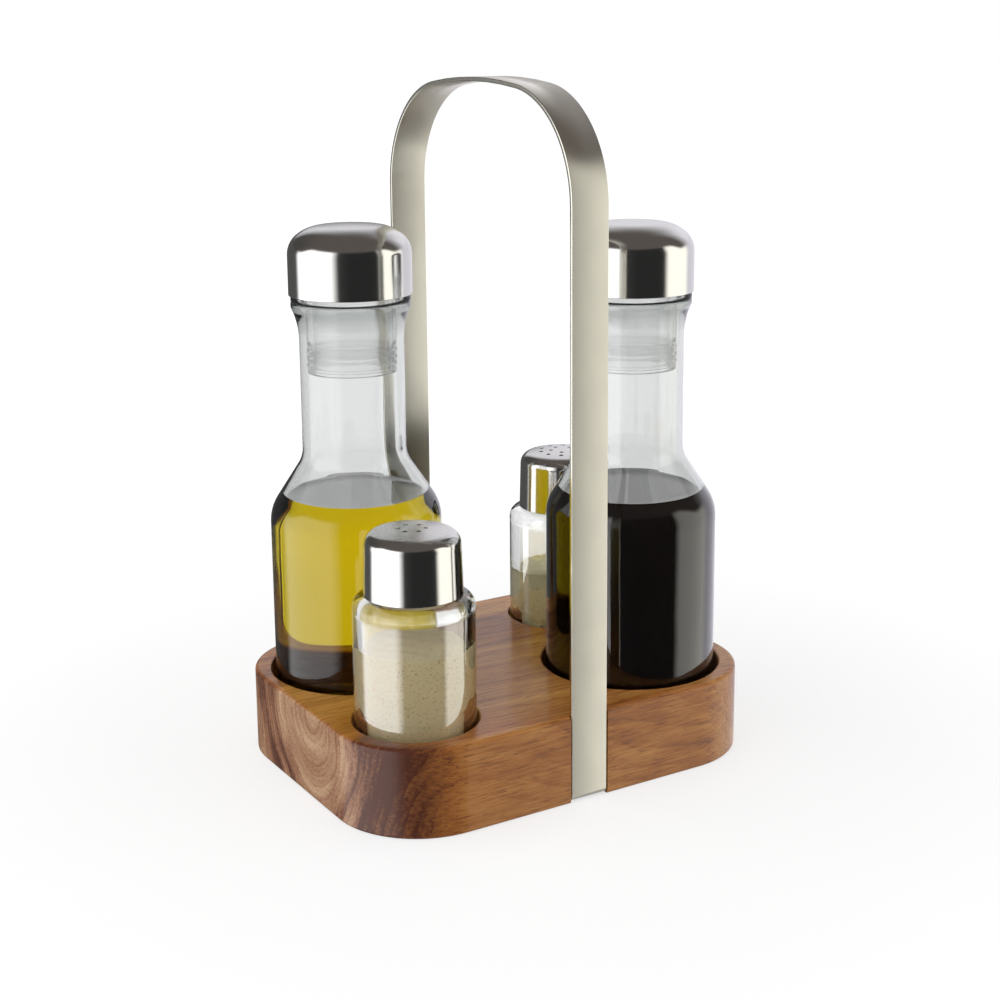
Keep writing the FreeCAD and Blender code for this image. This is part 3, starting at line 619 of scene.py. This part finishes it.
def dress_node(node, finish):
    """Give a CAD node a finish."""
    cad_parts[node].data.materials.clear()
    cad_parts[node].data.materials.append(finish)


def places_round(*stops):
    """Stops of a ramp from stops at degrees round from the camera's side, -180 to 180."""
    return [(0.5 + degrees / 360, colour) for degrees, colour in stops]


def crowned(half_width, top, edge, crown, inset=0.0):
    """Where a shallow crown meets its edge curve, and the height where that curve turns upright."""
    lean = (half_width - edge) / (crown - edge)
    rise = math.sqrt(1 - lean * lean)
    side = top - crown + (crown - edge) * rise
    return half_width - edge + (edge - inset) * lean, side + (edge - inset) * rise, side


def bottle_side(inset):
    """Side of a bottle from its shoulder to its neck, moved inwards by inset: straight wall, a
    rounded shoulder, a cone 33 degrees from upright, and a hollow curve into the neck."""
    lean, rise = math.sin(SHOULDER_SLANT), math.cos(SHOULDER_SLANT)
    shoulder, blend = SHOULDER_ROUND - inset, NECK_ROUND + inset
    body, neck = BOTTLE_RADIUS - inset, NECK_RADIUS - inset
    shoulder_r, shoulder_z = body - shoulder * (1 - rise), SHOULDER_FOOT + shoulder * lean
    blend_r = neck + blend * (1 - rise)
    blend_z = shoulder_z + (shoulder_r - blend_r) * rise / lean
    return [(body, SHOULDER_FOOT), (shoulder_r, shoulder_z, shoulder, 1), (blend_r, blend_z),
            (neck, blend_z + blend * lean, blend, -1)]


class CRUET_OT_block(bpy.types.Operator):
    """Finish the wooden block"""

    bl_idname = "cruet.block"
    bl_label = "Wooden block"

    def execute(self, context):
        dress_node("wood_base", wood_finish(context.scene.cruet_finishes))
        return {"FINISHED"}


class CRUET_OT_handle(bpy.types.Operator):
    """Make the strap handle with its countersunk screw holes, and finish the screws"""

    bl_idname = "cruet.handle"
    bl_label = "Strap handle"

    def execute(self, context):
        sizes, colours = context.scene.cruet_sizes, context.scene.cruet_finishes
        low, high = (np.array(corner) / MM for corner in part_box("handle_strap"))
        half_thick, foot_length, foot_bend, arch_bend, arch_crown = 0.75, 22, 1.25, 38, 200
        leg, foot, top = high[1] - half_thick, low[2] + half_thick, high[2] - half_thick
        bend_y, bend_z, upright = crowned(high[1], high[2], arch_bend, arch_crown, half_thick)
        half = trace([
            (high[1] - foot_length, foot), (leg - foot_bend, foot),
            (leg, foot + foot_bend, foot_bend, 1), (leg, upright),
            (bend_y, bend_z, arch_bend - half_thick, 1), (0, top, arch_crown - half_thick, 1)], 3.0)
        path = np.concatenate([half, half[-2::-1] * (-1, 1)])
        strap = swept_strap("strap", path, high[0], half_thick, sizes.strap_edge / MM)
        sunk = [(0, low[2] - 0.01), (3.06, low[2] - 0.01), (1.66, low[2] + 1.45), (1.66, 4), (0, 4)]
        seats = [turned_piece("seat", sunk, (0, side * (high[1] - 14)), 48) for side in (-1, 1)]
        cut_away(strap, seats)
        hand_over(strap, "stand", "handle_strap", strap_finish(colours))
        dress_node("handle_screws", screw_finish())
        return {"FINISHED"}


class CRUET_OT_bottles(bpy.types.Operator):
    """Make the two glass bottles"""

    bl_idname = "cruet.bottles"
    bl_label = "Bottles"

    def execute(self, context):
        around = context.scene.cruet_sizes.around
        flare, lip, neck_top = 27, 3, 134
        out, up = 1 - math.cos(math.radians(24)), math.sin(math.radians(24))
        flare_r, flare_z = NECK_RADIUS + flare * out, neck_top + flare * up
        lip_r, lip_z = flare_r + lip * out, flare_z + lip * up
        inside = [(0, BOTTLE_FLOOR), (24.8, BOTTLE_FLOOR), (27.8, 7.5, 3, 1), *bottle_side(BOTTLE_WALL),
                  (15.9, 146.8), (16.4, 147.3, 0.5, -1)]
        outside = [(0, 1), (20.7, 1), (21.2, 0.6), (21.6, 0.15), (22.1, 0), (27, 0), (30, 3, 3, 1),
                   *bottle_side(0), (NECK_RADIUS, neck_top), (flare_r, flare_z, flare, -1),
                   (lip_r, lip_z, lip, 1),
                   (lip_r, 146.5), (lip_r - 0.8, 147.3, 0.8, 1)]
        for name in ("oil", "vinegar"):
            spot, foot, _ = span(f"{name}_bottle_glass")
            wet = (spot.tolist(), foot, span("oil_fill")[2]) if name == "oil" else None
            finish = glass_finish(f"{name}_bottle_glass", 155.0, wet)
            outline = np.concatenate([trace(outside, 3.0), trace(inside, 3.0)[::-1]]) + (0, foot)
            bottle = turned_piece(f"{name}_bottle", outline, spot, around)
            hand_over(bottle, f"{name}_bottle", f"{name}_bottle_glass", finish)
        return {"FINISHED"}


class CRUET_OT_liquids(bpy.types.Operator):
    """Fill the bottles. A liquid meets the glass and climbs a little at its edge"""

    bl_idname = "cruet.liquids"
    bl_label = "Oil and vinegar"

    def execute(self, context):
        sizes, colours = context.scene.cruet_sizes, context.scene.cruet_finishes
        finishes = {"oil": oil_finish(colours), "vinegar": vinegar_finish(colours)}
        climb = sizes.meniscus / MM
        meet = 0.06  # how far the liquid's skin lies in the glass
        for name, finish in finishes.items():
            spot, floor, level = span(f"{name}_fill")
            below_floor = BOTTLE_FLOOR - meet
            corners = [(0, below_floor), (24.8, below_floor), (27.8 + meet, 7.5, 3 + meet, 1),
                       *bottle_side(BOTTLE_WALL - meet)]
            side = trace(corners, 3.0) + (0, floor - BOTTLE_FLOOR)
            below = side[side[:, 1] < level]
            following = side[len(below)]
            share = (level - below[-1, 1]) / (following[1] - below[-1, 1])
            edge = below[-1] + (following - below[-1]) * share
            fall = np.linspace(0, 6, 14)[1:]
            skin = np.stack([edge[0] - fall, level - climb * (1 - np.exp(-fall / 1.6))], axis=1)
            outline = np.concatenate([below, edge[None], skin, [[0, level - climb]]])
            liquid = turned_piece(f"{name}_liquid", outline, spot, sizes.around)
            hand_over(liquid, f"{name}_bottle", f"{name}_fill", finish)
        return {"FINISHED"}


class CRUET_OT_stoppers(bpy.types.Operator):
    """Make the stoppers, their seals and their steel caps"""

    bl_idname = "cruet.stoppers"
    bl_label = "Stoppers"

    def execute(self, context):
        sizes, colours = context.scene.cruet_sizes, context.scene.cruet_finishes
        plastic, rubber, steel = plastic_finish(), seal_finish(), cap_finish(colours)
        edge = sizes.steel_edge / MM
        side = 163.35
        shell = trace([
            (0, 173.1), (10.58, 172.52, 97.4, -1), (17.63, 169.66, 13.9, -1), (20.7, side, 8, -1),
            (20.7, 149.6 + edge), (20.7 + edge, 149.6, edge, 1), (21.3 - edge, 149.6),
            (21.3, 149.6 + edge, edge, 1), (21.3, side), (18, 170.13, 8.6, 1), (10.65, 173.12, 14.5, 1),
            (0, 173.7, 98, 1)], 3.0)
        plug = trace([
            (0, 160.6), (20.2, 160.6), (20.65, 160.2, 0.45, -1), (20.65, 149.62), (20.3, 149.6),
            (20.6, 149.3, 0.3, -1), (20.6, 147.6), (20.3, 147.3, 0.3, -1), (15.3, 147.3), (15.3, 132.5),
            (14.4, 132.5), (14.4, 124.1), (15.3, 124.1), (15.3, 123.2), (15.0, 122.9, 0.3, -1),
            (13.3, 122.9), (13, 123.2, 0.3, -1), (13, 158.6), (0, 158.6)])
        seal = trace([
            (14.44, 132.46), (14.44, 124.14), (15.14, 124.14), (15.14, 125.15), (15.14, 126.65, 0.9, 1),
            (15.14, 127.55), (15.14, 129.05, 0.9, 1), (15.14, 129.95), (15.14, 131.45, 0.9, 1),
            (15.14, 132.46)])
        for name in ("oil", "vinegar"):
            spot, foot, _ = span(f"{name}_bottle_glass")
            for part, node, outline, slot, finish in (
                ("cap", "cap_shell", shell, "cap_steel", steel),
                ("stopper", "stopper_plug", plug, "stopper_plastic", plastic),
                ("seal", "stopper_seal", seal, "seal", rubber),
            ):
                piece = turned_piece(f"{name}_{part}", outline + (0, foot), spot, sizes.around)
                hand_over(piece, f"{name}_stopper", f"{name}_{node}", finish)
        return {"FINISHED"}


class CRUET_OT_shakers(bpy.types.Operator):
    """Make the two thick glass shakers"""

    bl_idname = "cruet.shakers"
    bl_label = "Shakers"

    def execute(self, context):
        outside = [(0, 0), (16.25, 0), (20.25, 4, 4, 1), (20.25, 54.7), (16.25, 58.7, 4, 1), (14.6, 58.7),
                   (13.9, 59.4, 0.7, -1), (13.9, 70), (13.4, 70.5, 0.5, 1)]
        inside = [(0, 6), (12.9, 6), (15.9, 9, 3, 1), (17, 52.3), (13, 56.3, 4, 1), (12.3, 56.4),
                  (11.8, 57.0, 0.6, -1), (11.8, 70), (12.3, 70.5, 0.5, -1)]
        finish = glass_finish("shaker_glass", 26.0, wall=(0.0235, 0.0730))
        for name in ("front", "back"):
            spot, foot, _ = span(f"{name}_shaker_glass")
            outline = np.concatenate([trace(outside, 4.0), trace(inside, 4.0)[::-1]]) + (0, foot)
            shaker = turned_piece(f"{name}_shaker", outline, spot, context.scene.cruet_sizes.around)
            hand_over(shaker, f"{name}_shaker", f"{name}_shaker_glass", finish)
        return {"FINISHED"}


class CRUET_OT_powders(bpy.types.Operator):
    """Fill the shakers with powder whose top lies in low heaps"""

    bl_idname = "cruet.powders"
    bl_label = "Powders"

    def execute(self, context):
        sizes, colours = context.scene.cruet_sizes, context.scene.cruet_finishes
        waves = sizes.powder_waves / MM
        finishes = {
            "front": powder_finish("pale_pepper", colours.front_powder, (0.34, 0.25, 0.13), 0.16, 2.7),
            "back": powder_finish("warm_salt", colours.back_powder, (0.62, 0.52, 0.25), 0.10, 1.3),
        }
        for turn, (name, finish) in enumerate(finishes.items()):
            spot, floor, level = span(f"{name}_powder")
            slope = (17 - 15.9) / (49.5 - 9)
            rim = 15.9 + slope * (level - floor - 3) - 0.04
            crest = level - waves

            def lift(radius, angle, height):
                """Low heaps on the top: crossed waves of the place, damped to nothing at the floor."""
                x, y = radius * np.cos(angle), radius * np.sin(angle)
                heap = (np.sin(x * 0.31 + turn + 1.2) * np.cos(y * 0.27 - 0.6) * 0.55
                        + np.sin(x * 0.83 + y * 0.61) * 0.16 + np.cos(y * 1.37 - x * 0.9) * 0.10)
                return np.where(height > crest - 0.7, waves * heap * 0.9, 0.0)

            side = trace([(0, floor + 0.04), (12.9, floor + 0.04), (15.86, floor + 3, 3, 1),
                          (rim, crest - 0.6)])
            shoulder = trace([(rim, crest - 0.6), (rim - 0.5, crest - 0.1, 0.5, 1)], 20.0)
            top = np.stack([np.linspace(rim - 0.5, 0, 34), np.full(34, crest)], axis=1)
            outline = np.concatenate([side, shoulder[1:], top[1:]])
            powder = turned_piece(f"{name}_powder_heap", outline, spot, sizes.around, lift)
            hand_over(powder, f"{name}_shaker", f"{name}_powder", finish)
        return {"FINISHED"}


class CRUET_OT_shaker_caps(bpy.types.Operator):
    """Make the perforated steel caps and their liners"""

    bl_idname = "cruet.shaker_caps"
    bl_label = "Shaker caps"

    def execute(self, context):
        sizes, colours = context.scene.cruet_sizes, context.scene.cruet_finishes
        plastic, steel = plastic_finish(), cap_finish(colours)
        edge = sizes.steel_edge / MM
        bend_r, bend_z, side = crowned(15.95, 80.8, 4.5, 90)
        inner_r, inner_z, _ = crowned(15.95, 80.8, 4.5, 90, 0.5)
        shell = trace([
            (0, 80.3), (inner_r, inner_z, 89.5, -1), (15.45, side, 4, -1), (15.9, 59 + edge),
            (15.9 + edge, 59, edge, 1), (16.4 - edge, 59), (16.4, 59 + edge, edge, 1), (15.95, side),
            (bend_r, bend_z, 4.5, 1), (0, 80.8, 90, 1)], 3.0)
        liner = trace([(14.2, 70.5), (14.2, 59.3), (15.85, 59.3), (15.6, 71.7), (11.8, 71.7), (11.8, 70.5)])
        for name, rings in (("front", ((4.4, 6),)), ("back", ((4.4, 5), (8.3, 10)))):
            spot, foot, _ = span(f"{name}_shaker_glass")
            cap = turned_piece(f"{name}_cap", shell + (0, foot), spot, sizes.around)
            holes = []
            for ring, count in rings:
                angles = math.pi / 2 + np.arange(count) * 2 * math.pi / count
                for place in np.stack([ring * np.cos(angles), ring * np.sin(angles)], axis=1) + spot:
                    pin = np.array([(0, 78), (0.8, 78), (0.8, 82), (0, 82)]) + (0, foot)
                    holes.append(turned_piece("pin", pin, place, 24))
            cut_away(cap, holes)
            hand_over(cap, f"{name}_shaker_lid", f"{name}_shaker_cap", steel)
            seat = turned_piece(f"{name}_liner", liner + (0, foot), spot, sizes.around)
            hand_over(seat, f"{name}_shaker_lid", f"{name}_shaker_liner", plastic)
        return {"FINISHED"}


class CRUET_OT_stage(bpy.types.Operator):
    """Set the floor, the studio light and the camera"""

    bl_idname = "cruet.stage"
    bl_label = "Stage"

    def execute(self, context):
        self.make_floor()
        self.make_world(context.scene)
        for name, turn, height, distance, size, power in (
            ("key", -64, 36, 1.2, 1.8, 11.2),
            ("fill", 75, 25, 1.3, 1.3, 4.8),
            ("top", 150, 80, 1.2, 1.4, 5.0),
        ):
            self.make_lamp(name, turn, height, distance, size, power)
        self.make_camera(context.scene)
        context.scene.view_settings.view_transform = "Standard"
        return {"FINISHED"}

    def pale_rays(self, tree):
        """1 for the rays that look at the background: from the camera, through glass, and off metal.
        Light that reaches a matt surface through glass isn't among them."""
        camera = tree.add("ShaderNodeLightPath", output="Is Camera Ray")
        through = camera.other("Is Transmission Ray") * (1.0 - camera.other("Diffuse Depth"))
        mirrored = camera.other("Is Glossy Ray")
        return camera.sum("MAXIMUM", camera, through), mirrored

    def make_floor(self):
        """Pale floor that keeps the object's shadow."""
        finish = bpy.data.materials.new("pale_floor")
        finish.use_nodes = True
        tree = Tree(finish.node_tree)
        seen, mirrored = self.pale_rays(tree)
        matt = tree.add("ShaderNodeBsdfDiffuse", values={"Color": (0.82, 0.82, 0.82, 1)})
        glow = tree.add("ShaderNodeEmission", values={"Color": (1, 1, 1, 1), "Strength": 1.12})
        x, y, _ = tree.parts(tree.add("ShaderNodeTexCoord", output="Object"))
        far = tree.between((x * x + y * y) ** 0.5, 0.12, 0.42)
        share = seen.sum("MAXIMUM", seen, mirrored) * (0.6 + far * 0.4)
        lit = tree.add("ShaderNodeMixShader", values={0: share, 1: matt, 2: glow})
        tree.add("ShaderNodeOutputMaterial", values={"Surface": lit})
        mesh = bpy.data.meshes.new("floor")
        mesh.from_pydata([(-5, -5, 0), (5, -5, 0), (5, 5, 0), (-5, 5, 0)], [], [(0, 1, 2, 3)])
        mesh.materials.append(finish)
        floor = bpy.data.objects.new("floor", mesh)
        bpy.context.scene.collection.objects.link(floor)
        floor.visible_glossy = False

    def make_world(self, scene):
        """White for what looks at the background. Metal sees a studio round the set: bright panels to
        the left and right of the camera, a dark room behind it, and a grey ceiling. A matt surface
        behind glass, which the lamps don't reach, is lit from above by the world in their place."""
        world = bpy.data.worlds.new("studio")
        world.use_nodes = True
        tree = Tree(world.node_tree)
        seen, mirrored = self.pale_rays(tree)
        x, y, z = tree.parts(tree.add("ShaderNodeTexCoord", output="Generated"))
        turn = x.sum("ARCTAN2", y, x) - CAMERA_SIDE
        turn = turn.sum("WRAP", turn, math.pi, -math.pi) / (2 * math.pi) + 0.5
        dark, left, right, back = (0.03,) * 3, (2.1,) * 3, (1.65, 1.61, 1.47), (0.92, 0.90, 0.98)
        warm, pale, shade = (0.14, 0.122, 0.112), (1.05, 1.04, 1.1), (0.09, 0.085, 0.08)
        below, above = (0.10, 0.10, 0.09, 1), (1.75, 1.72, 1.66, 1)
        sides = tree.add("ShaderNodeValToRGB", {"stops": places_round(
            (-178, (0.10,) * 3), (-112, (0.11,) * 3), (-101, left), (-33, left), (-17, (0.05,) * 3),
            (4, dark), (57, dark), (66, right), (110, right), (122, back), (172, back))}, {0: turn})
        over = tree.add("ShaderNodeValToRGB", {"stops": places_round(
            (-178, pale), (-164, pale), (-150, shade), (-112, shade), (-80, warm), (108, warm), (136, pale),
            (178, pale))}, {0: turn})
        over = tree.blend(tree.between(z, 0.42, 0.97), over, (*warm, 1))
        toward = x * math.cos(CAMERA_SIDE) + y * math.sin(CAMERA_SIDE)
        edge = tree.between(toward, -0.2, 0.25) * 0.28 + 0.12
        wall = tree.blend(tree.between(z, edge, edge + 0.18), sides, over)
        ground = tree.blend(tree.between(z, -0.45, -0.75), wall, (0.45, 0.44, 0.42, 1))
        soft = tree.blend(seen, (0.37, 0.37, 0.37, 1), (1, 1, 1, 1))
        spread = tree.add("ShaderNodeLightPath", output="Diffuse Depth")
        within = tree.blend(tree.between(z, 0.0, 0.45), below, above)
        glossy = tree.blend(spread.sum("MINIMUM", spread, 1.0), ground, within)
        colour = tree.blend(mirrored * (1.0 - seen), soft, glossy)
        glow = tree.add("ShaderNodeBackground", values={"Color": colour, "Strength": 1.0})
        tree.add("ShaderNodeOutputWorld", values={"Surface": glow})
        scene.world = world

    def make_lamp(self, name, turn, height, distance, size, power):
        """Square soft lamp, turned from the camera's side and raised by degrees, aimed at the set."""
        side, up = CAMERA_SIDE + math.radians(turn), math.radians(height)
        toward = Vector((math.cos(side) * math.cos(up), math.sin(side) * math.cos(up), math.sin(up)))
        light = bpy.data.lights.new(name, "AREA")
        light.shape = "SQUARE"
        light.size = size
        light.energy = power
        lamp = bpy.data.objects.new(name, light)
        lamp.location = Vector((0, 0, 0.1)) + toward * distance
        lamp.rotation_euler = toward.to_track_quat("Z", "Y").to_euler()
        lamp.visible_glossy = False
        lamp.visible_camera = False
        bpy.context.scene.collection.objects.link(lamp)

    def make_camera(self, scene):
        """Camera of the photograph's view: place, turn about Z, fall and roll."""
        camera = bpy.data.cameras.new("camera")
        camera.lens = 61.41
        camera.sensor_width = 36
        camera.shift_y = -0.1
        camera.clip_start = 0.01
        turn, fall, roll = (math.radians(angle) for angle in (-31.57, 11.96, -0.49))
        level = Vector((-math.sin(turn), math.cos(turn), 0)) * math.cos(fall)
        ahead = level - Vector((0, 0, math.sin(fall)))
        right = Vector((math.cos(turn), math.sin(turn), 0))
        up = right.cross(ahead)
        right, up = (right * math.cos(roll) + up * math.sin(roll),
                     up * math.cos(roll) - right * math.sin(roll))
        eye = bpy.data.objects.new("camera", camera)
        facing = Matrix((right, up, -ahead)).transposed().to_4x4()
        eye.matrix_world = Matrix.Translation((-0.3027, -0.4975, 0.2493)) @ facing
        scene.collection.objects.link(eye)
        scene.camera = eye


PIECES = (CRUET_OT_block, CRUET_OT_handle, CRUET_OT_bottles, CRUET_OT_liquids, CRUET_OT_stoppers,
          CRUET_OT_shakers, CRUET_OT_powders, CRUET_OT_shaker_caps, CRUET_OT_stage)


class CRUET_PT_panel(bpy.types.Panel):
    """Sizes, colours and the pieces in the sidebar"""

    bl_idname = "CRUET_PT_panel"
    bl_label = "Cruet Set"
    bl_space_type = "VIEW_3D"
    bl_region_type = "UI"
    bl_category = "Cruet Set"

    def draw(self, context):
        for group in (context.scene.cruet_sizes, context.scene.cruet_finishes):
            for name in group.__annotations__:
                self.layout.prop(group, name)
        for piece in PIECES:
            self.layout.operator(piece.bl_idname)


CLASSES = (CruetSizes, CruetFinishes, *PIECES, CRUET_PT_panel)


def register():
    for kind in CLASSES:
        bpy.utils.register_class(kind)
    bpy.types.Scene.cruet_sizes = PointerProperty(type=CruetSizes)
    bpy.types.Scene.cruet_finishes = PointerProperty(type=CruetFinishes)


def unregister():
    del bpy.types.Scene.cruet_finishes
    del bpy.types.Scene.cruet_sizes
    for kind in reversed(CLASSES):
        bpy.utils.unregister_class(kind)


def main():
    """Make every piece in turn."""
    register()
    for piece in PIECES:
        group, name = piece.bl_idname.split(".")
        getattr(getattr(bpy.ops, group), name)()


if __name__ == "__main__":
    main()
